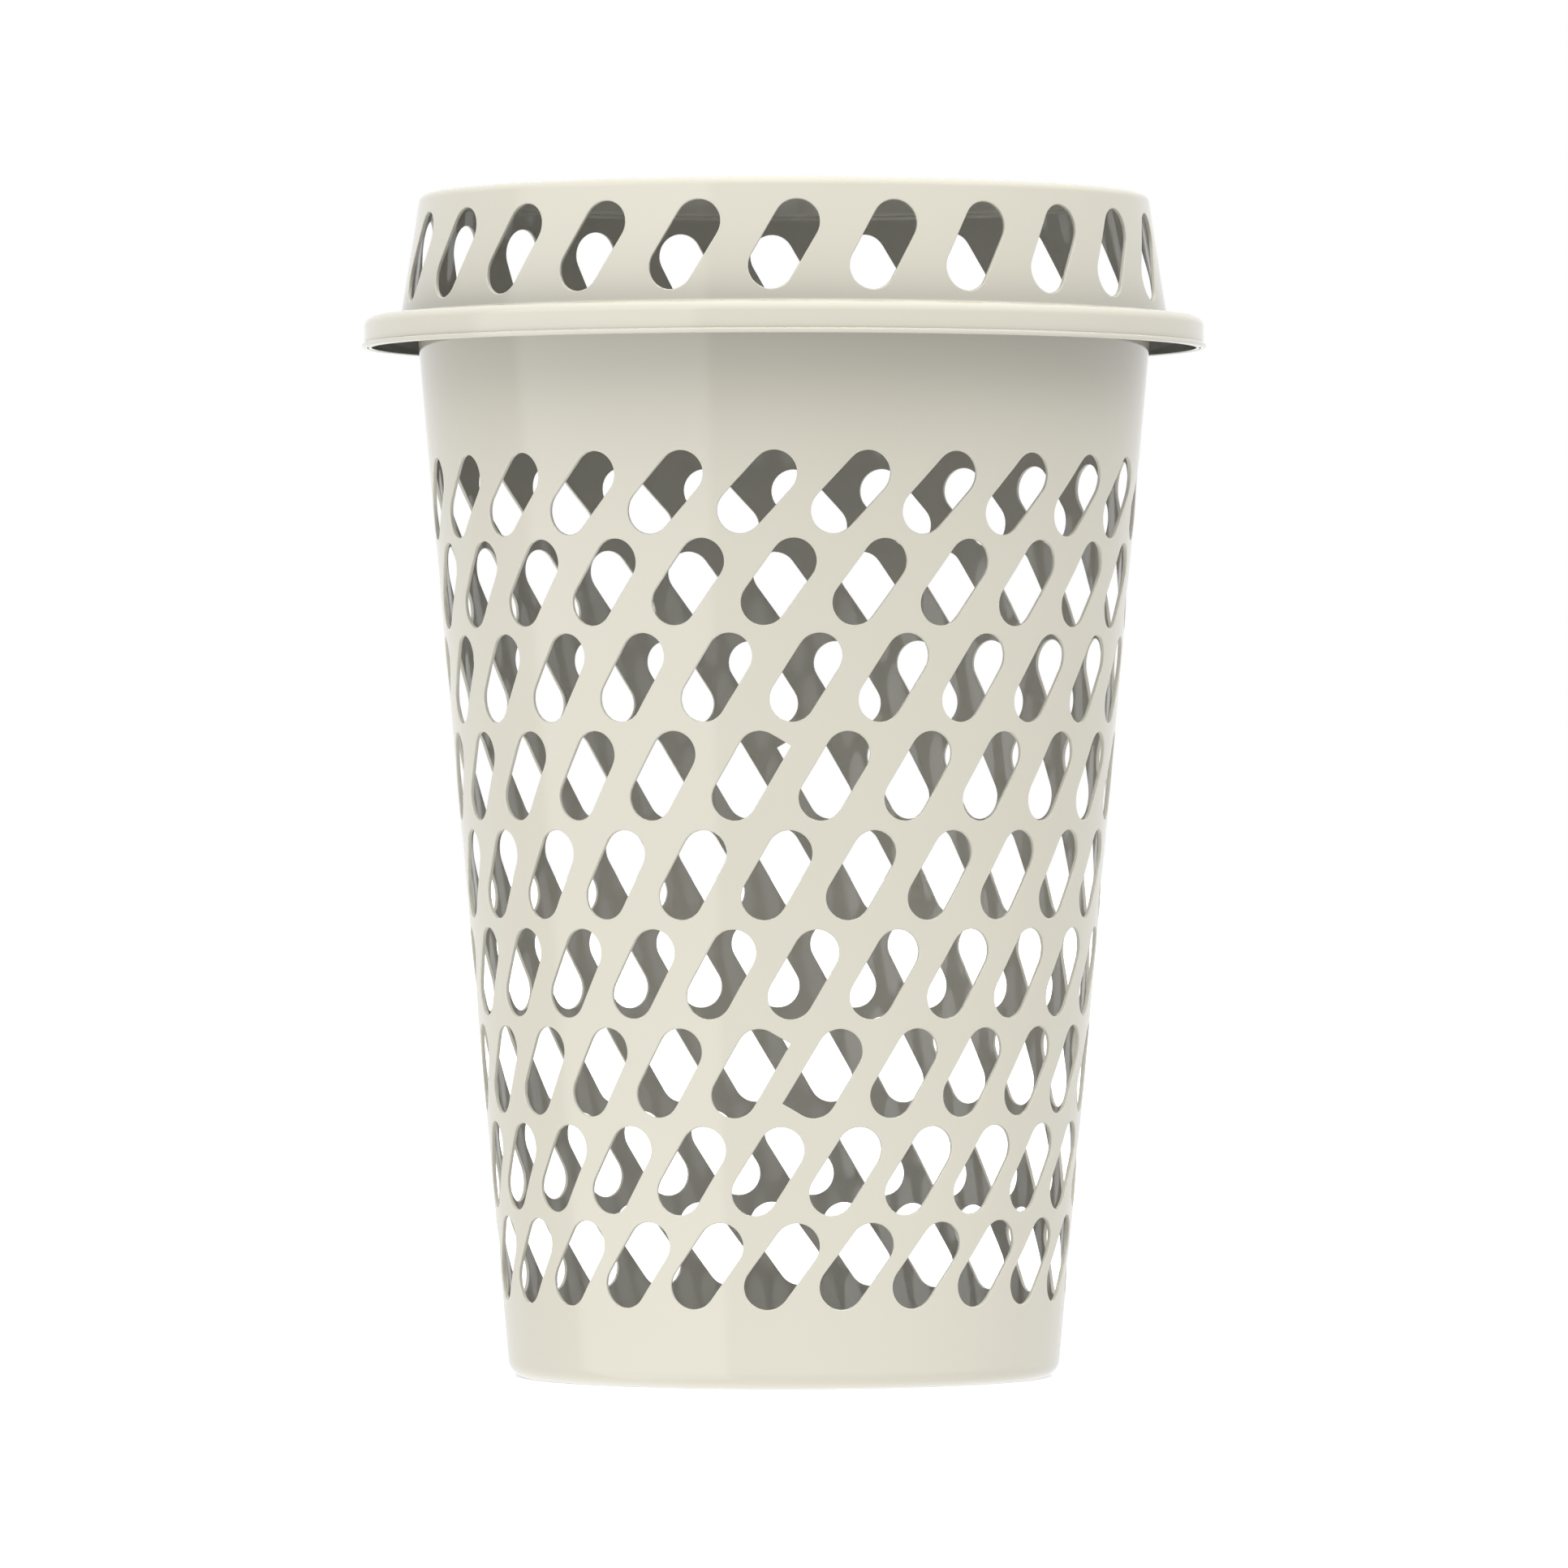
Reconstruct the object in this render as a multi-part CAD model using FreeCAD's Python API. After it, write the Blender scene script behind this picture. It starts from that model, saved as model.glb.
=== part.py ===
"""Laundry hamper with a lift-off lid: two thin-walled plastic mouldings with rows of slanted slots.

Millimetres, +Z up, origin at the centre of the face that the hamper stands on, front towards -Y.
The tub and the lid are each one moulding. Each is written as a few simple stretches that meet face to face,
and its walls and skirts as staves round the axis, so that the space inside it and the finger gap under its rim
stay open when each solid is taken for its outer hull.
"""
import FreeCAD, Part
import math
import os

# Overall sizes
total_height = 600.0
lid_flange_top = 538.0
sheet = 2.0

# Tub wall: its outer radius grows from the foot to the rim
foot_radius = 139.5
tub_taper = 0.0885
foot_bend = 9.0
floor_bend = 6.0
floor_top = 4.5
floor_underside = 2.0
floor_radius = 118.0
foot_ring_radius = 120.0
foot_top = 10.5
wall_top = 532.0

# Tub rim: a flat flange that ends in a skirt turned down outside it
tub_flange_top = 536.0
tub_skirt_radius = 211.4
tub_skirt_thickness = 1.8
tub_rim_bend = 4.0
finger_gap_bend = 2.0
skirt_bottom = 522.0

# Lid crown: a tapered wall under a flat top
crown_radius = 194.9
crown_taper = -0.1565
crown_wall_bottom = 540.5
crown_wall_top = 593.0
top_bend = 4.5
crown_bend = 2.0

# Lid rim: its skirt goes over the tub's skirt and ends in a small bead
lid_skirt_radius = 213.4
lid_skirt_thickness = 1.6
lid_rim_bend = 5.0
lid_rim_inner_bend = 3.0
bead_stand = 1.2
bead_height = 2.4

# Slots: one stadium shape everywhere, leaning to the right as it goes up
slot_width = 22.7
slot_straight = 25.2
slots_around = 24
slot_spacing = 360.0 / slots_around
cutter_inside = 14.0
cutter_outside = 8.0

# Tub rows are counted from the top and set out from the bottom one along 24 leaning lines
tub_row_count = 9
bottom_row_height = 61.3
bottom_row_azimuth = -0.4
row_pitch = 56.85
steepest_lean = 60.0
straightest_row = 5.5
lean_loss = 0.139

# Lid row
lid_row_height = 566.6
lid_row_azimuth = 0.0
lid_lean = 60.0

# Slots that keep one square corner: (row, place from the front) and the corner, again at the back
square_corners = {(4, 0): "upper right", (7, 0): "upper right", (7, 1): "lower left"}
half_turn_places = slots_around // 2

# Walls and skirts are rings of staves, with their seams clear of the slots' round ends
stave_count = 12
stave_angle = 360.0 / stave_count
tub_seam = -14.3
lid_seam = -22.5


def tub_outer(height):
    """Outer radius of the tub wall."""
    return foot_radius + tub_taper * height


def crown_base_radius():
    """Outer radius that the crown wall would have at height zero."""
    return crown_radius - crown_taper * lid_flange_top


def crown_outer(height):
    """Outer radius of the lid's crown wall."""
    return crown_base_radius() + crown_taper * height


def bend(base, taper, flat, radius, out, up):
    """Arc between a wall (radius = base + taper * height) and a flat face at height flat.

    out is 1 when the arc's centre lies inside the wall's surface and -1 when it lies outside it.
    up is 1 when the flat is above the centre and -1 when it is below. Returns the end on the wall,
    the middle, and the end on the flat.
    """
    slope = math.atan(taper)
    centre_height = flat - up * radius
    centre_radius = base + taper * centre_height - out * radius / math.cos(slope)
    wall_way = (out * math.cos(slope), -out * math.sin(slope))
    middle_way = (wall_way[0], wall_way[1] + up)
    length = math.hypot(middle_way[0], middle_way[1])
    wall_end = (centre_radius + radius * wall_way[0], centre_height + radius * wall_way[1])
    middle = (centre_radius + radius * middle_way[0] / length, centre_height + radius * middle_way[1] / length)
    return [wall_end, middle, (centre_radius, flat)]


def closed_wire(outline, place):
    """Wire through an outline whose items are single corners or three points of an arc."""
    edges = []
    for item, following in zip(outline, outline[1:] + outline[:1]):
        if len(item) == 3:
            edges.append(Part.Arc(place(item[0]), place(item[1]), place(item[2])).toShape())
        if math.dist(item[-1], following[0]) > 1e-6:
            edges.append(Part.LineSegment(place(item[-1]), place(following[0])).toShape())
    return Part.Wire(edges)


def upright(point):
    """Point of a half-section, as (radius, height), in space."""
    return FreeCAD.Vector(point[0], 0, point[1])


def turned(outline, sweep=360.0):
    """Solid made by turning a half-section about the upright axis."""
    face = Part.Face(closed_wire(outline, upright))
    return face.revolve(FreeCAD.Vector(0, 0, 0), FreeCAD.Vector(0, 0, 1), sweep)


def staves(outline, seam):
    """Solids of one half-section, side by side round the axis from an azimuth measured from -Y."""
    ring = []
    for number in range(stave_count):
        stave = turned(outline, stave_angle)
        # A section is drawn on +X, a quarter turn on from -Y
        stave.rotate(FreeCAD.Vector(0, 0, 0), FreeCAD.Vector(0, 0, 1), seam + number * stave_angle - 90)
        ring.append(stave)
    return ring


def slot_outline(square_corner):
    """Outline of a slot in its own plane: long way first, then across towards the lower right."""
    half = slot_straight / 2
    radius = slot_width / 2
    slant = radius * math.sqrt(0.5)
    low_end = [(-half, radius), (-half - radius, 0), (-half, -radius)]
    if square_corner is None:
        return [[(half, -radius), (half + radius, 0), (half, radius)], low_end]
    quarter_round = [(half, -radius), (half + slant, -slant), (half + radius, 0)]
    outline = [quarter_round, [(half + radius, radius)], low_end]
    if square_corner == "lower left":
        outline = [[(-long, -across) for long, across in item] for item in outline]
    return outline


def slot_cutter(wall_radius, height, azimuth, lean, square_corner=None):
    """Bar with a slot's section, pointing straight out through the wall."""
    turn = math.radians(azimuth)
    tilt = math.radians(lean)
    outwards = FreeCAD.Vector(math.sin(turn), -math.cos(turn), 0)
    sideways = FreeCAD.Vector(math.cos(turn), math.sin(turn), 0)
    upwards = FreeCAD.Vector(0, 0, 1)
    along = sideways * math.cos(tilt) + upwards * math.sin(tilt)
    across = sideways * math.sin(tilt) - upwards * math.cos(tilt)
    start = outwards * (wall_radius - cutter_inside) + upwards * height

    def place(point):
        return start + along * point[0] + across * point[1]

    face = Part.Face(closed_wire(slot_outline(square_corner), place))
    return face.extrude(outwards * (cutter_inside + cutter_outside))


def row_lean(row):
    """Lean of the slot line from level, at a row or at a half step between two rows."""
    return steepest_lean - lean_loss * abs(row - straightest_row) ** 3


def tub_rows():
    """Number, height and azimuth of each tub row, from the bottom row up."""
    height = bottom_row_height
    azimuth = bottom_row_azimuth
    rows = []
    for row in range(tub_row_count, 0, -1):
        nearest = (azimuth + slot_spacing / 2) % slot_spacing - slot_spacing / 2
        rows.append((row, height, nearest))
        step_lean = math.radians(row_lean(row - 0.5))
        rise = row_pitch * math.sin(step_lean)
        azimuth += math.degrees(row_pitch * math.cos(step_lean) / tub_outer(height + rise / 2))
        height += rise
    return rows


def tub_cutters(from_azimuth, to_azimuth):
    """Cutters of every tub slot that reaches between two azimuths."""
    cutters = []
    for row, height, row_azimuth in tub_rows():
        for place in range(slots_around):
            azimuth = row_azimuth + place * slot_spacing
            middle = (from_azimuth + to_azimuth) / 2
            off_middle = abs((azimuth - middle + 180) % 360 - 180)
            if off_middle < (to_azimuth - from_azimuth) / 2 + slot_spacing:
                corner = square_corners.get((row, place % half_turn_places))
                cutters.append(slot_cutter(tub_outer(height), height, azimuth, row_lean(row), corner))
    return cutters


def make_tub_floor():
    """Flat floor, set a little above the ring that it stands on."""
    return turned([
        [(0, floor_underside)],
        [(floor_radius, floor_underside)],
        [(floor_radius, floor_top)],
        [(0, floor_top)],
    ])


def make_tub_foot():
    """Standing ring and the rounded corner from the floor to the wall."""
    outer = bend(foot_radius, tub_taper, 0, foot_bend, 1, -1)
    inner = bend(foot_radius - sheet, tub_taper, floor_top, floor_bend, 1, -1)
    return turned([
        [(floor_radius, floor_underside)],
        [(foot_ring_radius, 0)],
        outer[::-1],
        [(tub_outer(foot_top), foot_top)],
        [(tub_outer(foot_top) - sheet, foot_top)],
        inner,
        [(floor_radius, floor_top)],
    ])


def make_tub_wall():
    """Slotted wall, from the foot to the flange."""
    blanks = staves([
        [(tub_outer(foot_top), foot_top)],
        [(tub_outer(wall_top), wall_top)],
        [(tub_outer(wall_top) - sheet, wall_top)],
        [(tub_outer(foot_top) - sheet, foot_top)],
    ], tub_seam)
    solids = []
    for number, blank in enumerate(blanks):
        seam = tub_seam + number * stave_angle
        solids.append(blank.cut(tub_cutters(seam, seam + stave_angle)))
    return Part.makeCompound(solids)


def make_tub_flange():
    """Top of the wall, bent out into the flat flange that the lid rests on."""
    outer = bend(foot_radius, tub_taper, tub_flange_top - sheet, finger_gap_bend, -1, 1)
    inner = bend(foot_radius - sheet, tub_taper, tub_flange_top, finger_gap_bend + sheet, -1, 1)
    edge = tub_skirt_radius - tub_rim_bend
    return turned([
        [(tub_outer(wall_top), wall_top)],
        outer,
        [(edge, tub_flange_top - sheet)],
        [(edge, tub_flange_top)],
        inner[::-1],
        [(tub_outer(wall_top) - sheet, wall_top)],
    ])


def make_tub_skirt():
    """Skirt turned down from the tub's flange, with the finger gap behind it."""
    inner_radius = tub_skirt_radius - tub_skirt_thickness
    edge = tub_skirt_radius - tub_rim_bend
    return Part.makeCompound(staves([
        [(edge, tub_flange_top - sheet)],
        bend(inner_radius, 0, tub_flange_top - sheet, finger_gap_bend, 1, 1)[::-1],
        [(inner_radius, skirt_bottom)],
        [(tub_skirt_radius, skirt_bottom)],
        bend(tub_skirt_radius, 0, tub_flange_top, tub_rim_bend, 1, 1),
    ], tub_seam))


def make_lid_top():
    """Flat middle of the lid's top."""
    edge = bend(crown_base_radius(), crown_taper, total_height, top_bend, 1, 1)[-1][0]
    return turned([
        [(0, total_height - sheet)],
        [(edge, total_height - sheet)],
        [(edge, total_height)],
        [(0, total_height)],
    ])


def make_lid_shoulder():
    """Rounded edge between the lid's top and its crown wall."""
    outer = bend(crown_base_radius(), crown_taper, total_height, top_bend, 1, 1)
    inner = bend(crown_base_radius() - sheet, crown_taper, total_height - sheet, top_bend - sheet, 1, 1)
    return turned([
        [(crown_outer(crown_wall_top), crown_wall_top)],
        outer,
        [(outer[-1][0], total_height - sheet)],
        inner[::-1],
        [(crown_outer(crown_wall_top) - sheet, crown_wall_top)],
    ])


def make_lid_crown_wall():
    """Slotted wall of the lid's raised crown."""
    blanks = staves([
        [(crown_outer(crown_wall_bottom), crown_wall_bottom)],
        [(crown_outer(crown_wall_top), crown_wall_top)],
        [(crown_outer(crown_wall_top) - sheet, crown_wall_top)],
        [(crown_outer(crown_wall_bottom) - sheet, crown_wall_bottom)],
    ], lid_seam)
    cutters = []
    for place in range(slots_around):
        azimuth = lid_row_azimuth + place * slot_spacing
        cutters.append(slot_cutter(crown_outer(lid_row_height), lid_row_height, azimuth, lid_lean))
    return Part.makeCompound([blank.cut(cutters) for blank in blanks])


def make_lid_flange():
    """Foot of the crown wall, bent out into the flange that rests on the tub."""
    outer = bend(crown_base_radius(), crown_taper, lid_flange_top, crown_bend, -1, -1)
    inner = bend(crown_base_radius() - sheet, crown_taper, lid_flange_top - sheet, crown_bend + sheet, -1, -1)
    edge = lid_skirt_radius - lid_rim_bend
    return turned([
        [(crown_outer(crown_wall_bottom), crown_wall_bottom)],
        outer,
        [(edge, lid_flange_top)],
        [(edge, lid_flange_top - sheet)],
        inner[::-1],
        [(crown_outer(crown_wall_bottom) - sheet, crown_wall_bottom)],
    ])


def make_lid_skirt():
    """Skirt turned down over the tub's skirt, with a bead round its lower edge."""
    inner_radius = lid_skirt_radius - lid_skirt_thickness
    edge = lid_skirt_radius - lid_rim_bend
    bead_top = skirt_bottom + bead_height
    bead_middle = skirt_bottom + bead_height / 2
    return Part.makeCompound(staves([
        [(edge, lid_flange_top - sheet)],
        bend(inner_radius, 0, lid_flange_top - sheet, lid_rim_inner_bend, 1, 1)[::-1],
        [(inner_radius, skirt_bottom)],
        [(lid_skirt_radius, skirt_bottom), (lid_skirt_radius + bead_stand, bead_middle), (lid_skirt_radius, bead_top)],
        bend(lid_skirt_radius, 0, lid_flange_top, lid_rim_bend, 1, 1),
    ], lid_seam))


def make_nodes():
    """Every stretch of the hamper by its name."""
    return {
        "tub_floor": make_tub_floor(),
        "tub_foot": make_tub_foot(),
        "tub_wall": make_tub_wall(),
        "tub_flange": make_tub_flange(),
        "tub_skirt": make_tub_skirt(),
        "lid_top": make_lid_top(),
        "lid_shoulder": make_lid_shoulder(),
        "lid_crown_wall": make_lid_crown_wall(),
        "lid_flange": make_lid_flange(),
        "lid_skirt": make_lid_skirt(),
    }


os.makedirs("parts", exist_ok=True)
for node_name, shape in make_nodes().items():
    shape.exportStep("parts/" + node_name + ".step")
    print(node_name, shape.isValid(), len(shape.Solids), round(shape.Volume))
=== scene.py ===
"""Looks of a laundry hamper: a slotted, tapered tub and its slotted lid, each a thin cream plastic moulding.

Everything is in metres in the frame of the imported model, with +Z up and the front towards -Y. Azimuths are
measured from the front and grow towards +X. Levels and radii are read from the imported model. The slot pattern
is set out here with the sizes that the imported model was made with.
"""

import logging
import math
from dataclasses import dataclass, field
from enum import Enum

import bmesh
import bpy
import numpy as np
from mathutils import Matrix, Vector
from mathutils.geometry import delaunay_2d_cdt


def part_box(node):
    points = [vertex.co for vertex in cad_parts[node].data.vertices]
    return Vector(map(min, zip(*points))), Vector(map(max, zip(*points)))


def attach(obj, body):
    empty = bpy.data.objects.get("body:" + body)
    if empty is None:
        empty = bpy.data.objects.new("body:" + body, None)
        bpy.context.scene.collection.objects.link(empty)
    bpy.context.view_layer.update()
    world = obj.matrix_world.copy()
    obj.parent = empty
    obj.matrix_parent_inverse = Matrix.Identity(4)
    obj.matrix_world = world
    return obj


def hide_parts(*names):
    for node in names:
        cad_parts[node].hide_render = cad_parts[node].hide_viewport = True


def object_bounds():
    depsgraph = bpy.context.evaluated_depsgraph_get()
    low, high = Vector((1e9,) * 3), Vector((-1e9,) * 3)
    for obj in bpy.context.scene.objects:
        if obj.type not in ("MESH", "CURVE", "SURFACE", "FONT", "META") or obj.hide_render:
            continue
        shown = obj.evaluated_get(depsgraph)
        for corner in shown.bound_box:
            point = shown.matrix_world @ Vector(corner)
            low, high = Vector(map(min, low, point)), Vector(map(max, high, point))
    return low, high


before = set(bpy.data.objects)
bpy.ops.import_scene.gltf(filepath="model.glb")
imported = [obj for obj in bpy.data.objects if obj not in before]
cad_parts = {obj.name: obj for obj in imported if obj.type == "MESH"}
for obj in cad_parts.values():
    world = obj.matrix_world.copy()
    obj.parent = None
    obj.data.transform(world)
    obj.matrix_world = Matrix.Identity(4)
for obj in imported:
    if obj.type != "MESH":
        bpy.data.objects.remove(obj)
cad_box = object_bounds()

log = logging.getLogger("hamper")

MM = 0.001
FULL_TURN = 2 * math.pi
WELD_DISTANCE = 0.002 * MM
SAME_SPOT = 1e-9


class Side(Enum):
    """Face of a thin wall, with the sign of its normal."""

    OUTER = 1
    INNER = -1


class SquareCorner(Enum):
    """Which corner of a slot is left square, as (along, across) signs."""

    NONE = (0, 0)
    UPPER_RIGHT = (1, -1)
    LOWER_LEFT = (-1, 1)


def unit(vector: np.ndarray) -> np.ndarray:
    """Vector or rows of vectors, scaled to length one."""
    return vector / np.linalg.norm(vector, axis=-1, keepdims=True)


def around(radius: np.ndarray, azimuth: np.ndarray, height: np.ndarray) -> np.ndarray:
    """Points in space from their radius, azimuth and height.

    Args:
        radius: Distances from the upright axis.
        azimuth: Angles from the front, in radians.
        height: Heights.

    Returns:
        One row of x, y and z for each point.
    """
    radius, azimuth, height = np.broadcast_arrays(radius, azimuth, height)
    return np.stack([radius * np.sin(azimuth), -radius * np.cos(azimuth), height], axis=-1)


class MeshDraft:
    """Mesh under construction, with a true surface normal kept for every point."""

    def __init__(self) -> None:
        """Starts with no points and no faces."""
        self.points: list[np.ndarray] = []
        self.normals: list[np.ndarray] = []
        self.faces: list[tuple[int, ...]] = []
        self.count = 0

    def add_points(self, points: np.ndarray, normals: np.ndarray) -> int:
        """Adds points with their normals.

        Args:
            points: One row for each point.
            normals: One row for each point.

        Returns:
            Index of the first new point.
        """
        first = self.count
        self.points.append(points)
        self.normals.append(unit(normals))
        self.count += len(points)
        return first

    def join_rings(self, first: int, second: int, size: int) -> None:
        """Joins two closed rings of as many points with four-sided faces.

        Args:
            first: Index of the first ring's first point.
            second: Index of the second ring's first point.
            size: Points in each ring.
        """
        for i in range(size):
            j = (i + 1) % size
            self.faces.append((first + i, first + j, second + j, second + i))

    def close_ring(self, ring: int, middle: int, size: int, middle_first: bool) -> None:
        """Joins a closed ring to one point in its middle.

        Args:
            ring: Index of the ring's first point.
            middle: Index of the point in the middle.
            size: Points in the ring.
            middle_first: Whether the middle comes before the ring along the section.
        """
        for i in range(size):
            j = (i + 1) % size
            ends = (ring + j, ring + i) if middle_first else (ring + i, ring + j)
            self.faces.append((middle, *ends))

    def to_object(self, name: str) -> bpy.types.Object:
        """Makes the object, with coincident points welded and the kept normals set.

        Args:
            name: Name of the piece.

        Returns:
            The new object, in the scene.
        """
        mesh = bpy.data.meshes.new(name)
        mesh.from_pydata(np.concatenate(self.points), [], self.faces)
        kept = mesh.attributes.new("outward", "FLOAT_VECTOR", "POINT")
        kept.data.foreach_set("vector", np.concatenate(self.normals).astype(np.float32).ravel())
        work = bmesh.new()
        work.from_mesh(mesh)
        bmesh.ops.remove_doubles(work, verts=work.verts[:], dist=WELD_DISTANCE)
        open_edges = sum(1 for edge in work.edges if not edge.is_manifold)
        work.to_mesh(mesh)
        work.free()
        normals = np.zeros(len(mesh.vertices) * 3, np.float32)
        kept = mesh.attributes["outward"]
        kept.data.foreach_get("vector", normals)
        mesh.attributes.remove(kept)
        mesh.shade_smooth()
        mesh.normals_split_custom_set_from_vertices(normals.reshape(-1, 3).tolist())
        piece = bpy.data.objects.new(name, mesh)
        bpy.context.scene.collection.objects.link(piece)
        points, faces = len(mesh.vertices), len(mesh.polygons)
        log.info("%s: %d points, %d faces, %d open edges", name, points, faces, open_edges)
        return piece


@dataclass(frozen=True)
class Corner:
    """Corner of a half-section: its distance from the axis, its height, and the bend that rounds it."""

    radius: float
    height: float
    bend: float = 0.0


@dataclass(frozen=True)
class Section:
    """Half-section of a round moulding, walked so that its surface faces right of the way."""

    corners: tuple[Corner, ...]
    arc_step: float = math.radians(11.5)

    def trace(self) -> tuple[np.ndarray, np.ndarray]:
        """Points along the section, with every bend as an arc.

        Returns:
            Points and normals, one row of radius and height for each.
        """
        places = np.array([(corner.radius, corner.height) for corner in self.corners])
        ways = unit(places[1:] - places[:-1])
        points: list[np.ndarray] = [places[0]]
        heading: list[np.ndarray] = [ways[0]]
        for corner, place, before, after in zip(self.corners[1:-1], places[1:-1], ways[:-1], ways[1:]):
            turn = math.atan2(before[0] * after[1] - before[1] * after[0], float(before @ after))
            start = place - before * corner.bend * math.tan(abs(turn) / 2)
            centre = start + math.copysign(corner.bend, turn) * np.array([-before[1], before[0]])
            steps = max(2, math.ceil(abs(turn) / self.arc_step))
            for step in range(steps + 1):
                angle = turn * step / steps
                spin = np.array([[math.cos(angle), -math.sin(angle)], [math.sin(angle), math.cos(angle)]])
                points.append(centre + spin @ (start - centre))
                heading.append(spin @ before)
        points.append(places[-1])
        heading.append(ways[-1])
        headings = np.array(heading)
        return np.array(points), np.stack([headings[:, 1], -headings[:, 0]], axis=-1)

    def turn_into(self, draft: MeshDraft, segments: int, phase: float) -> None:
        """Turns the section about the axis.

        Args:
            draft: Mesh to add the surface to.
            segments: Number of flat segments in the full turn.
            phase: Azimuth of the first point of each ring.
        """
        azimuth = phase + np.arange(segments) * FULL_TURN / segments
        points, normals = self.trace()
        last_ring: int | None = None
        last_pole: int | None = None
        for (radius, height), (out, up) in zip(points, normals):
            if radius < WELD_DISTANCE:
                last_pole = draft.add_points(np.array([[0.0, 0.0, height]]), np.array([[0.0, 0.0, up]]))
                if last_ring is not None:
                    draft.close_ring(last_ring, last_pole, segments, middle_first=False)
                continue
            ring = draft.add_points(around(radius, azimuth, height), around(out, azimuth, up))
            if last_ring is not None:
                draft.join_rings(last_ring, ring, segments)
            elif last_pole is not None:
                draft.close_ring(ring, last_pole, segments, middle_first=True)
            last_ring = ring


@dataclass(frozen=True)
class Cone:
    """Tapered round surface: its radius at height zero and its growth with height."""

    base: float
    taper: float

    def radius(self, height: np.ndarray) -> np.ndarray:
        """Radius at a height."""
        return self.base + self.taper * height

    def normal(self, azimuth: np.ndarray) -> np.ndarray:
        """Outward normal at an azimuth."""
        return unit(around(np.ones_like(azimuth), azimuth, -self.taper))


@dataclass(frozen=True)
class Slot:
    """Slot shape: a stadium, whose long edges and ends are rounded over at both faces of the wall."""

    width: float = 22.7 * MM
    straight: float = 25.2 * MM
    outer_edge: float = 0.6 * MM
    inner_edge: float = 0.4 * MM
    square_edge: float = 0.3 * MM
    arc_steps: int = 8
    outer_steps: int = 3
    inner_steps: int = 2
    side_step: float = 6.3 * MM

    def outline(self, corner: SquareCorner) -> tuple[np.ndarray, np.ndarray]:
        """Closed outline in the slot's own plane, anticlockwise.

        Args:
            corner: The corner that is left square.

        Returns:
            Points and outward normals, one row of along and across for each.
        """
        reach = np.array([self.straight / 2 + self.width / 2, self.width / 2])
        points: list[np.ndarray] = []
        normals: list[np.ndarray] = []
        for index, signs in enumerate([(1, -1), (1, 1), (-1, 1), (-1, -1)]):
            radius = self.square_edge if signs == corner.value else self.width / 2
            centre = np.array(signs) * (reach - radius)
            angles = (index - 1 + np.linspace(0, 1, self.arc_steps + 1)) * math.pi / 2
            arc_normals = np.stack([np.cos(angles), np.sin(angles)], axis=-1)
            arc = centre + radius * arc_normals
            if points:
                points, normals = self.add_side(points, normals, arc[0])
            points.extend(arc)
            normals.extend(arc_normals)
        points, normals = self.add_side(points, normals, points[0])
        outline = np.array(points)
        apart = np.linalg.norm(outline - np.roll(outline, 1, axis=0), axis=1) > WELD_DISTANCE
        return outline[apart], np.array(normals)[apart]

    def add_side(
        self, points: list[np.ndarray], normals: list[np.ndarray], end: np.ndarray
    ) -> tuple[list[np.ndarray], list[np.ndarray]]:
        """Adds the points between the outline's last point and the next arc.

        Args:
            points: The outline's points so far.
            normals: Their normals.
            end: Start of the next arc.

        Returns:
            Both lists with the side's inner points added.
        """
        steps = max(1, round(float(np.linalg.norm(end - points[-1])) / self.side_step))
        start = points[-1]
        side = [start + (end - start) * step / steps for step in range(1, steps)]
        return points + side, normals + [normals[-1]] * len(side)

    def distance(self, along: np.ndarray, across: np.ndarray) -> np.ndarray:
        """Distance outside the stadium of points in the slot's plane."""
        return np.hypot(np.maximum(np.abs(along) - self.straight / 2, 0), across) - self.width / 2

    def half_height(self, lean: float) -> float:
        """Half the height that a leaning slot takes up."""
        return self.straight / 2 * math.sin(lean) + self.width / 2


@dataclass(frozen=True)
class SlotPlace:
    """Where one slot is: its row's number, azimuth, height and lean, and its square corner if it has one."""

    row: int
    azimuth: float
    height: float
    lean: float
    corner: SquareCorner = SquareCorner.NONE

    def spread(self, along: np.ndarray, across: np.ndarray) -> tuple[np.ndarray, np.ndarray]:
        """Sideways and upward parts of lengths along and across the slot."""
        cosine, sine = math.cos(self.lean), math.sin(self.lean)
        return along * cosine - across * sine, along * sine + across * cosine

    def ring(
        self, cone: Cone, outline: np.ndarray, depth: float
    ) -> tuple[np.ndarray, np.ndarray, np.ndarray]:
        """Lays an outline on the wall, straight in along the slot's own radius.

        Args:
            cone: The wall's outer surface.
            outline: Points along and across the slot.
            depth: How far under the outer surface the points lie.

        Returns:
            Radius, azimuth and height of each point.
        """
        sideways, upward = self.spread(outline[:, 0], outline[:, 1])
        height = self.height + upward
        radius = cone.radius(height) - depth
        return radius, self.azimuth + np.arcsin(sideways / radius), height

    def wall_normals(self, normals: np.ndarray) -> np.ndarray:
        """Normals of the slot's own wall in space, facing its middle."""
        sideways, upward = self.spread(normals[:, 0], normals[:, 1])
        tangent = np.array([math.cos(self.azimuth), math.sin(self.azimuth), 0.0])
        return -(sideways[:, None] * tangent + upward[:, None] * np.array([0.0, 0.0, 1.0]))


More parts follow.
